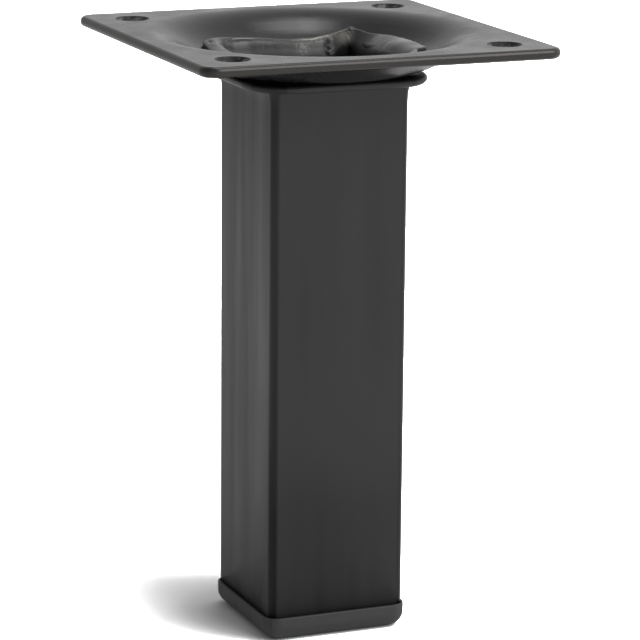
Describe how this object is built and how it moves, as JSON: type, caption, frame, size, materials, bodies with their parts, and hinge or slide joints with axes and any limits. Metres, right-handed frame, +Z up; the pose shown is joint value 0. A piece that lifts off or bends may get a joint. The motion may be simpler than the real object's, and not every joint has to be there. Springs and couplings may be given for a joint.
{
  "type": "table leg",
  "caption": "Short square steel furniture leg with a dished screw-on mounting plate, a tube crimped through it and a plastic foot cap.",
  "frame": {"origin": "middle of the foot cap's sole, on the floor", "axes": "+Z up along the tube to the mounting plate, +X and +Y square to the tube's and the plate's sides"},
  "size_m": [0.092, 0.092, 0.15],
  "materials": {
    "plate_coat": "semi-gloss black powder coat",
    "tube_coat": "satin black powder coat",
    "foot_plastic": "matt moulded black plastic"
  },
  "bodies": {
    "root": {"mounting_plate": "plate_coat", "leg_tube": "tube_coat", "foot_cap": "foot_plastic"}
  },
  "joints": []
}
